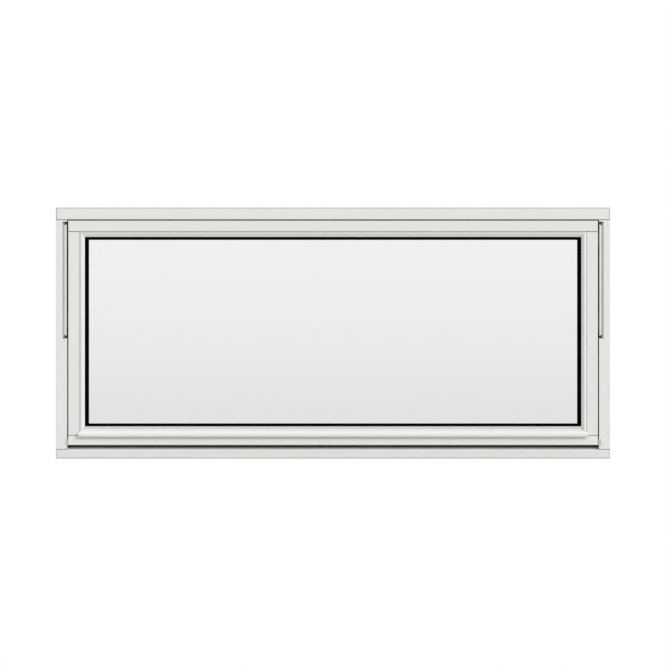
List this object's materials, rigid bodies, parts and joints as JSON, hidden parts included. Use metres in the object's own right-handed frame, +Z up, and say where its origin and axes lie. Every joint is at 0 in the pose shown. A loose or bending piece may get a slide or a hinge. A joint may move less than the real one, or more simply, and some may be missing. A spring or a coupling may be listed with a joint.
{
  "type": "top hung awning window",
  "caption": "Top hung awning window, shut: painted timber frame and sash, double glazing with bevelled beads, a drip bead below and friction stays let into the jambs.",
  "frame": {"origin": "middle of the sill's underside, at half the frame's depth", "axes": "+X along the window's width, +Y from outside to the room, +Z up"},
  "size_m": [1.188, 0.121, 0.538],
  "materials": {
    "painted_timber": "satin",
    "glass": "polished",
    "glazing_rubber": "matte",
    "edge_spacer": "matte",
    "stay_steel": "satin",
    "stay_cap_plastic": "matte",
    "guide_nylon": "satin",
    "handle_metal": "satin"
  },
  "bodies": {
    "root": {"frame_head": "painted_timber", "frame_sill": "painted_timber", "left_frame_jamb": "painted_timber", "right_frame_jamb": "painted_timber", "sash_top_rail": "painted_timber", "sash_bottom_rail": "painted_timber", "left_sash_stile": "painted_timber", "right_sash_stile": "painted_timber", "top_glazing_bead": "painted_timber", "left_glazing_bead": "painted_timber", "right_glazing_bead": "painted_timber", "bottom_drip_bead": "painted_timber", "outer_glass_pane": "glass", "inner_glass_pane": "glass", "outer_glazing_gasket": "glazing_rubber", "inner_glazing_gasket": "glazing_rubber", "frame_weatherstrip": "glazing_rubber", "glass_spacer": "edge_spacer", "left_stay_track": "stay_steel", "right_stay_track": "stay_steel", "left_stay_arm": "stay_steel", "right_stay_arm": "stay_steel", "left_stay_sash_bar": "stay_steel", "right_stay_sash_bar": "stay_steel", "left_stay_end_caps": "stay_cap_plastic", "right_stay_end_caps": "stay_cap_plastic", "left_stay_packers": "stay_cap_plastic", "right_stay_packers": "stay_cap_plastic", "left_guide_block": "guide_nylon", "right_guide_block": "guide_nylon", "glass_setting_blocks": "guide_nylon", "handle_base": "handle_metal", "handle_lever": "handle_metal"}
  },
  "joints": []
}
